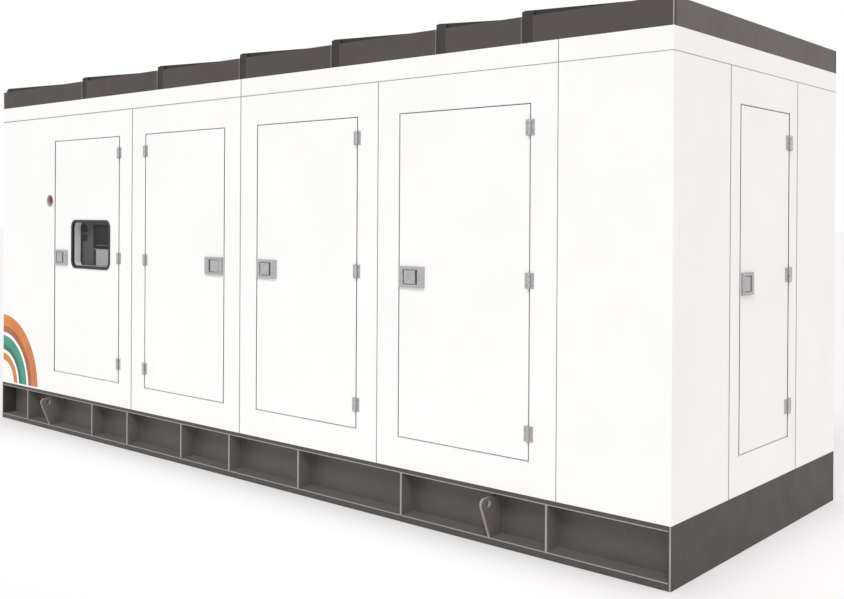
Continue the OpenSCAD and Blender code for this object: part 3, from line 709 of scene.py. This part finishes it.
def add_latch_gear(door, name, body, place):
    """The lock case and its two rods behind the latch, clear of the cabinet."""
    plate = door.local(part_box(door.body + "_latch"))
    middle = (plate[0].z + plate[1].z) / 2
    x, back = door.width - LOCK_IN, door.thick
    guides = (70 * MM, door.height - 70 * MM)
    bm = bmesh.new()
    for z, half in ((middle, LOCK_SIZE), (guides[0], GUIDE_SIZE), (guides[1], GUIDE_SIZE)):
        add_box(bm, (x - half.x, back, z - half.z), (x + half.x, back + half.y, z + half.z))
    piece(name + "_lock_case", bm, zinc, body, 1.5, place)
    bm = bmesh.new()
    for start, end in ((30 * MM, middle - 60 * MM), (middle + 60 * MM, door.height - 30 * MM)):
        add_turned(bm, (x, back + ROD_R, start), UP, [(ROD_R, 0), (ROD_R, end - start)], 12)
    piece(name + "_lock_rods", bm, zinc, body, place=place)


for door, name, body, place in copies:
    add_door_frame(door, name, body, place)
    if body != "housing":
        add_door_lining(door, name, body, place)
        add_latch_gear(door, name, body, place)


# ---------------------------------------------------------------- hinges and latches

HINGE_LEAF_T = 4 * MM


def add_hinge_details(door, name, body, place):
    """Screws in both leaves of each hinge, and the pin's two round heads."""
    moving, still = bmesh.new(), bmesh.new()
    pins = bmesh.new()
    axis_x = -door.gap / 2
    for low, high in (door.local(box) for box in solids(door.body + "_hinges")):
        knuckle_r = -low.y / 2
        middle = (low.z + high.z) / 2
        half = (high.z - low.z) / 2
        screw_x = axis_x + (high.x - axis_x + knuckle_r) / 2 + 1 * MM
        for screw_z in (middle - 0.6 * half, middle + 0.6 * half):
            countersunk(moving, (screw_x, -HINGE_LEAF_T, screw_z), (0, -1, 0), 3.6 * MM)
            countersunk(still, (2 * axis_x - screw_x, -HINGE_LEAF_T, screw_z), (0, -1, 0), 3.6 * MM)
        for sign in (-1, 1):
            add_turned(pins, (axis_x, -knuckle_r, middle + sign * half), (0, 0, sign),
                       [(0.62 * knuckle_r, 0), (0.62 * knuckle_r, 1.6 * MM), (0.4 * knuckle_r, 2.6 * MM)], 20)
    piece(name + "_hinge_screws", moving, dark_zinc, body, place=place)
    piece(name + "_frame_hinge_screws", still, dark_zinc, "housing", place=place)
    piece(name + "_hinge_pins", pins, dark_zinc, body, place=place)


DISH_FLOOR = 3 * MM        # of a latch's dish, in front of the leaf
GRIP_W = 17.5 * MM         # of the finger gap beside a paddle
PAD_T = 0.4 * MM
RIVET_IN = 8 * MM          # from the latch plate's edges


def add_latch_details(door, name, body, place):
    """The plate's rivets, and a dark pad in the finger gap beside the paddle: painted shade for the deep
    recess there.
    """
    low, high = door.local(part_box(door.body + "_latch"))
    bm = bmesh.new()
    for x in (low.x + RIVET_IN, high.x - RIVET_IN):
        for z in (low.z + RIVET_IN, high.z - RIVET_IN):
            add_turned(bm, (x, low.y, z), (0, -1, 0), [(3.2 * MM, -0.5 * MM), (3.2 * MM, 0.3 * MM),
                                                       (2.2 * MM, 1.1 * MM), (0.8 * MM, 1.4 * MM)], 14)
    piece(name + "_latch_rivets", bm, zinc, body, place=place)
    paddle = door.local(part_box(door.body + "_paddle"))
    bm = bmesh.new()
    add_box(bm, (paddle[0].x - GRIP_W, -DISH_FLOOR - PAD_T, paddle[0].z),
            (paddle[0].x - 2.5 * MM, -DISH_FLOOR, paddle[1].z))
    piece(name + "_recess_shade_pad", bm, recess_shade_rubber, body, 0.2, place)


for door, name, body, place in copies:
    add_hinge_details(door, name, body, place)
    add_latch_details(door, name, body, place)


# ---------------------------------------------------------------- base frame

HIGHLIGHT_OUT = 0.5 * MM          # that the painted highlight stands in front of its edge
HIGHLIGHT_IN = 1 * MM           # that it reaches into it
FLANGE_HIGHLIGHT_W = 5.5 * MM          # on the flanges
END_PLATE_T = 9 * MM


def add_base_highlights():
    """Painted highlights: paler strips along the flanges' edges, the ribs' fronts and the end plates' edges,
    where light catches them.
    """
    ribs_low, ribs_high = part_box("base_ribs")
    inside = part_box("base_flanges")[1].x
    bm = bmesh.new()
    for sign in (-1, 1):
        y = sorted((sign * (FACE_Y - HIGHLIGHT_IN), sign * (FACE_Y + HIGHLIGHT_OUT)))
        for low_z in (ribs_low.z - FLANGE_HIGHLIGHT_W, ribs_high.z):
            add_box(bm, (-inside, y[0], low_z), (inside, y[1], low_z + FLANGE_HIGHLIGHT_W))
        for end in (-1, 1):
            x = sorted((end * FACE_X, end * (FACE_X - END_PLATE_T)))
            add_box(bm, (x[0], y[0], 0), (x[1], y[1], BASE_TOP))
        for low, high in solids("base_ribs"):
            if low.y * sign > 0:
                add_box(bm, (low.x + HIGHLIGHT_IN, y[0], low.z), (high.x - HIGHLIGHT_IN, y[1], high.z))
    piece("base_edge_highlights", bm, highlight_enamel, "housing", 0.2)


WELD_LEG = 4 * MM
WELD_END = 12 * MM         # from the face to where a level bead ends


def add_bead(bm, start, end, first, second):
    """A three-sided weld bead in the corner between two plates."""
    corners = [WELD_LEG * Vector(way) for way in ((0, 0, 0), first, second)]
    join_rows(bm, [[Vector(point) + corner for corner in corners] for point in (start, end)])


def add_base_welds():
    """Weld beads where ribs and lugs meet the web and the lower flange."""
    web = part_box("base_webs")[1].y
    bm = bmesh.new()
    for low, high in solids("base_ribs") + solids("lifting_lugs"):
        sign = 1 if low.y > 0 else -1
        for x, way in ((low.x, -1), (high.x, 1)):
            foot = (x, sign * web, low.z)
            add_bead(bm, foot, (x, sign * web, high.z), (way, 0, 0), (0, sign, 0))
            add_bead(bm, foot, (x, sign * (FACE_Y - WELD_END), low.z), (way, 0, 0), (0, 0, 1))
    piece("base_weld_beads", bm, base_enamel, "housing", 0.8)


LUG_NOSE_R = 32 * MM       # of a lug's round nose
LUG_HIGHLIGHT_WIDTH = 9 * MM         # of the painted highlight along a lug's edge
LUG_HIGHLIGHT_END = math.radians(68)             # where it ends on the nose, up from level
EYE_IN = 2.5 * MM          # from a lug's sides to the painted highlight in its eye


def add_lug_highlights():
    """Painted highlights along each lug's sloped edge and nose, and inside its eye, where light catches them.
    """
    bm = bmesh.new()
    steps = 14
    for low, high in solids("lifting_lugs"):
        sign = 1 if low.y > 0 else -1
        reach = max(abs(low.y), abs(high.y))
        nose = Vector((reach - LUG_NOSE_R, high.z - LUG_NOSE_R))
        foot = Vector((FACE_Y, low.z))
        away = foot - nose
        turn = math.atan2(away.y, away.x) + math.acos(LUG_NOSE_R / away.length)
        x = (low.x + high.x) / 2
        angles = [turn] + [turn + (LUG_HIGHLIGHT_END - turn) * i / steps for i in range(steps + 1)]
        rows = []
        for angle in angles:
            out = Vector((math.cos(angle), math.sin(angle)))
            at = nose + LUG_NOSE_R * out if rows else foot
            inner, outer = at - out * HIGHLIGHT_IN, at + out * HIGHLIGHT_OUT
            rows.append([(x + side * LUG_HIGHLIGHT_WIDTH / 2, sign * min(p.x, reach), p.y)
                         for p, side in ((inner, -1), (inner, 1), (outer, 1), (outer, -1))])
        join_rows(bm, rows)
    for mount in frame["record"]["mounts"]:
        if mount["name"].startswith("lifting_eye"):
            radius = mount["dims"]["r_mm"] * MM
            half = mount["dims"]["length_mm"] / 2 * MM - EYE_IN
            profile = [(radius + HIGHLIGHT_IN, -half), (radius - HIGHLIGHT_OUT, -half),
                       (radius - HIGHLIGHT_OUT, half), (radius + HIGHLIGHT_IN, half)]
            add_turned(bm, mount["pos_m"], (1, 0, 0), profile, 48, True)
    piece("lug_edge_highlights", bm, highlight_enamel, "housing")


add_base_highlights()
add_lug_highlights()
add_base_welds()


STEP_HIGHLIGHT_T = 0.8 * MM           # of the pale painted highlight at a roof step
CORNER_HIGHLIGHT_W = 6 * MM             # of the one at a corner


def add_fascia_highlights():
    """Painted highlights at the fascia boards' ends, paler than their coat, at each step and at the corners.
    """
    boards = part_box("roof_side_fascia")
    base_z, top_z = boards[0].z, boards[1].z
    inset = 0.2 * MM
    bm = bmesh.new()
    for low, high in solids("roof_step_posts"):
        sign = 1 if low.y > 0 else -1
        y = sorted((sign * FACE_Y, low.y if sign < 0 else high.y))
        add_box(bm, (low.x, y[0] + inset, base_z), (low.x + STEP_HIGHLIGHT_T, y[1] - inset, top_z))
    for end in (-1, 1):
        x = sorted((end * FACE_X, end * (FACE_X - CORNER_HIGHLIGHT_W)))
        for sign in (-1, 1):
            y = sorted((sign * (FACE_Y - HIGHLIGHT_IN), sign * (FACE_Y + HIGHLIGHT_OUT)))
            add_box(bm, (x[0], y[0], base_z), (x[1], y[1], top_z))
    piece("fascia_edge_highlights", bm, highlight_enamel, "housing", 0.2)


add_fascia_highlights()

# ---------------------------------------------------------------- window and instruments

GASKET_W = 20 * MM
WINDOW_R = 60 * MM         # of the gasket's corners
TRIM_LIP = 16 * MM         # of the back trim, on the free side only: the instruments need the other sides
GLASS_HALF = 3.4 * MM      # from the glass's middle to the bead behind it
GLAZING_T = 1 * MM
LINER_OUT = 10 * MM        # that the liner stands behind the leaf


def add_window_details():
    """The bead behind the glass, the pale liner through the leaf, and the rubber trim around its back."""
    door = doors[0]
    low, high = window_box(door)
    rubber_low, rubber_high = door.local(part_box("window_gasket"))
    width = rubber_high.x - rubber_low.x - 2 * GASKET_W
    height = rubber_high.z - rubber_low.z - 2 * GASKET_W
    radius = WINDOW_R - GASKET_W
    centre = ((low.x + high.x) / 2, 0, (low.z + high.z) / 2)

    def outline(grow_mm, y, lip=0.0):
        """An outline that lies grow_mm outside the gasket's opening, with a lip on the free side."""
        grow = grow_mm * MM
        return width + 2 * grow - lip, height + 2 * grow, radius + grow, y, -lip / 2

    glass_back = (low.y + high.y) / 2 + GLASS_HALF
    bead_back = glass_back + GLAZING_T
    bm = bmesh.new()
    rounded_ring(bm, centre, [outline(-0.3, glass_back), outline(-0.3, bead_back),
                              outline(-2.7, bead_back), outline(-2.7, glass_back)])
    piece("window_glazing_bead", bm, epdm, "control_door", place=door.place)
    step = door.thick + 1 * MM
    back = door.thick + LINER_OUT
    bm = bmesh.new()
    rounded_ring(bm, centre, [outline(-0.3, bead_back), outline(-0.3, step), outline(3.2, step),
                              outline(3.2, back), outline(1.2, back), outline(1.2, step + 2 * MM),
                              outline(-2.3, step + 2 * MM), outline(-2.3, bead_back)])
    piece("window_liner", bm, liner_coat, "control_door", place=door.place)
    trim_front, trim_back = door.thick + 1.6 * MM, back + 2 * MM
    bm = bmesh.new()
    rounded_ring(bm, centre, [outline(16, trim_front), outline(16, back - 3 * MM), outline(8, trim_back),
                              outline(3.3, trim_back, TRIM_LIP), outline(3.3, back + 0.1 * MM, TRIM_LIP),
                              outline(3.3, back + 0.1 * MM), outline(3.3, trim_front)])
    piece("window_back_trim", bm, epdm, "control_door", 0.6, door.place)


DISPLAY_BEZEL_OUT = 1.6 * MM               # in front of the unit


def add_display_details():
    """The display's bezel, dark screen and keys, all plain."""
    low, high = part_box("display_unit")
    front = low.y
    width, height = high.x - low.x, high.z - low.z
    centre = ((low.x + high.x) / 2, 0, (low.z + high.z) / 2 + 0.1 * height)
    wide, tall = 0.78 * width, 0.6 * height
    rim = 6 * MM
    inner = (wide - 2 * rim, tall - 2 * rim, 4 * MM)
    inside, outside = front + 1 * MM, front - DISPLAY_BEZEL_OUT
    bm = bmesh.new()
    rounded_ring(bm, centre, [(wide, tall, rim, inside), (wide, tall, rim, outside),
                              (*inner, outside), (*inner, inside)])
    piece("display_bezel", bm, dark_plastic, "housing", 0.4)
    half_x, half_z = wide / 2 - 5 * MM, tall / 2 - 5 * MM
    bm = bmesh.new()
    add_box(bm, (centre[0] - half_x, front - 0.5 * MM, centre[2] - half_z),
            (centre[0] + half_x, inside, centre[2] + half_z))
    piece("display_screen", bm, screen, "housing", 0.2)
    bm = bmesh.new()
    for i in range(4):
        x = low.x + width * (0.3 + 0.17 * i)
        add_turned(bm, (x, front, low.z + 0.13 * height), (0, -1, 0),
                   [(6 * MM, -0.5 * MM), (6 * MM, 1 * MM), (5 * MM, 1.8 * MM), (3 * MM, 2 * MM)], 20)
    piece("display_keys", bm, grey_plastic, "housing", 0.2)


def add_breaker_details():
    """The dark slot along the breaker unit's side, and its cover screws."""
    low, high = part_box("breaker_unit")
    front = low.y
    width, height = high.x - low.x, high.z - low.z
    bm = bmesh.new()
    add_box(bm, (low.x + 2 * MM, front - 0.8 * MM, low.z + 2 * MM),
            (low.x + 0.17 * width, front + 1 * MM, high.z - 2 * MM))
    piece("breaker_slots", bm, dark_plastic, "housing", 0.3)
    bm = bmesh.new()
    for x in (low.x + 0.28 * width, high.x - 0.06 * width):
        for z in (low.z + 0.12 * height, high.z - 0.12 * height):
            countersunk(bm, (x, front, z), (0, -1, 0), 3.5 * MM)
    piece("breaker_screws", bm, zinc, "housing")


def add_cabinet_details():
    """The line around the cabinet's door, and the door's two locks."""
    low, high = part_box("control_cabinet")
    front = low.y
    bm = bmesh.new()
    edge, line = 26 * MM, 3 * MM
    x0, x1, z0, z1 = low.x + edge, high.x - edge, low.z + edge, high.z - edge
    for a, b in (((x0, z0), (x1, z0 + line)), ((x0, z1 - line), (x1, z1)),
                 ((x0, z0), (x0 + line, z1)), ((x1 - line, z0), (x1, z1))):
        add_box(bm, (a[0], front - 0.4 * MM, a[1]), (b[0], front + 1 * MM, b[1]))
    piece("cabinet_door_line", bm, dark_plastic, "housing")
    bm = bmesh.new()
    for z in (low.z + 0.25 * (high.z - low.z), low.z + 0.6 * (high.z - low.z)):
        add_turned(bm, (x1 - 30 * MM, front, z), (0, -1, 0),
                 [(12 * MM, -0.5 * MM), (12 * MM, 1.5 * MM), (10 * MM, 2.5 * MM), (4 * MM, 2.5 * MM)], 24)
    piece("cabinet_locks", bm, zinc, "housing", 0.3)


add_window_details()
add_display_details()
add_breaker_details()
add_cabinet_details()


CUP_FLOOR_T = 3 * MM
BEZEL_R = (10 * MM, 42 * MM)               # of the stop bezel's hole and rim
BEZEL_T = 0.8 * MM


def add_stop_details():
    """The dark bezel on the floor of the stop button's cup."""
    low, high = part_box("stop_button_ring")
    centre = ((low.x + high.x) / 2, high.y - CUP_FLOOR_T, (low.z + high.z) / 2)
    hole, rim = BEZEL_R
    bm = bmesh.new()
    add_turned(bm, centre, (0, -1, 0), [(hole, 0), (rim, 0), (rim, BEZEL_T), (hole, BEZEL_T)], 64, True)
    piece("stop_button_bezel", bm, bezel_plastic, "housing", 0.2)


add_stop_details()

# ---------------------------------------------------------------- generic artwork

FAN_MARGIN = 14 * MM       # from the wall's edges to the fan
FAN_BANDS = ((0.60, 0.50, orange_film), (0.50, 0.445, rust_film), (0.415, 0.335, green_film),
             (0.335, 0.29, deep_green_film), (0.26, 0.2, orange_film))
FILM_IN, FILM_OUT = 0.1 * MM, -0.2 * MM    # of the film's back and front, from the face


def add_fan_artwork():
    """A plain fan of printed quarter rings in the far lower corner of the long side."""
    corner = Vector((-FACE_X, -FACE_Y, BASE_TOP))
    steps = 40
    for number, (outer, inner, film) in enumerate(FAN_BANDS):
        rows = []
        for i in range(steps + 1):
            ways = []
            for radius in (inner, outer):
                start = math.asin(FAN_MARGIN / radius)
                angle = start + (math.pi / 2 - 2 * start) * i / steps
                ways.append((radius * math.cos(angle), radius * math.sin(angle)))
            (x0, z0), (x1, z1) = ways
            rows.append([corner + Vector(point) for point in (
                (x0, FILM_IN, z0), (x1, FILM_IN, z1), (x1, FILM_OUT, z1), (x0, FILM_OUT, z0))])
        bm = bmesh.new()
        join_rows(bm, rows)
        piece("fan_band_%d" % (number + 1), bm, film, "housing")


add_fan_artwork()

# ---------------------------------------------------------------- floor, light and camera

FLOOR_R = 150.0            # in metres, so that the floor runs on past the view
SKY_LIGHT = 0.5            # on the object. The background itself shows at 1, which is white.


def add_floor():
    """A plain white floor that shows only the object's soft shadow."""
    material = bpy.data.materials.new("studio_floor")
    material.use_nodes = True
    shader = material.node_tree.nodes["Principled BSDF"]
    shader.inputs["Base Color"].default_value = linear("#FAFAFA")
    shader.inputs["Roughness"].default_value = 0.9
    bm = bmesh.new()
    sides = 128
    angles = [2 * math.pi * i / sides for i in range(sides)]
    bm.faces.new([bm.verts.new((FLOOR_R * math.cos(a), FLOOR_R * math.sin(a), -1 * MM)) for a in angles])
    mesh = bpy.data.meshes.new("floor")
    bm.to_mesh(mesh)
    bm.free()
    mesh.materials.append(material)
    floor = bpy.data.objects.new("floor", mesh)
    bpy.context.scene.collection.objects.link(floor)


def add_world():
    """An even grey surrounding light that the camera, metal and glass see as white."""
    world = bpy.data.worlds.new("studio")
    bpy.context.scene.world = world
    world.use_nodes = True
    tree = world.node_tree
    tree.nodes.clear()
    path = add_node(tree, "LightPath").outputs
    seen = path["Is Camera Ray"]
    for ray in ("Is Glossy Ray", "Is Transmission Ray"):
        seen = add_node(tree, "Math", {0: seen, 1: path[ray]}, operation="MAXIMUM").outputs[0]
    strength = spread(tree, seen, SKY_LIGHT, 1.0, 0, 1)
    sky = add_node(tree, "Background", {"Color": (1, 1, 1, 1), "Strength": strength})
    add_node(tree, "OutputWorld", {"Surface": sky.outputs[0]})


def add_sun(name, toward, strength, spread_degrees, colour=(1, 1, 1)):
    """A soft sun that shines from a direction toward the object."""
    lamp = bpy.data.lights.new(name, "SUN")
    lamp.color = colour
    lamp.energy = strength
    lamp.angle = math.radians(spread_degrees)
    thing = bpy.data.objects.new(name, lamp)
    bpy.context.scene.collection.objects.link(thing)
    thing.rotation_euler = Vector(toward).to_track_quat("Z", "Y").to_euler()


def add_camera():
    """A camera at about a standing person's height, off the near corner."""
    lens = bpy.data.cameras.new("camera")
    lens.sensor_fit = "HORIZONTAL"
    lens.sensor_width = 36
    lens.lens = 44.563
    lens.shift_y = -0.0955
    camera = bpy.data.objects.new("camera", lens)
    bpy.context.scene.collection.objects.link(camera)
    bpy.context.scene.camera = camera
    at = Vector((5.618, -5.69, 1.803))
    forward = Vector((-0.6534, 0.757, -0.0026)).normalized()
    right = Vector((0.757, 0.6534, 0.0058))
    right = (right - forward * right.dot(forward)).normalized()
    turned = Matrix((right, right.cross(forward), -forward)).transposed().to_4x4()
    camera.matrix_world = Matrix.Translation(at) @ turned


add_floor()
add_world()
add_sun("key", (0.35, -0.75, 0.9), 1.78, 25)
add_sun("fill", (0.9, 0.1, 0.5), 0.34, 40, (1.0, 0.7, 0.71))
add_camera()
bpy.context.scene.view_settings.view_transform = "Standard"

bpy.context.view_layer.update()
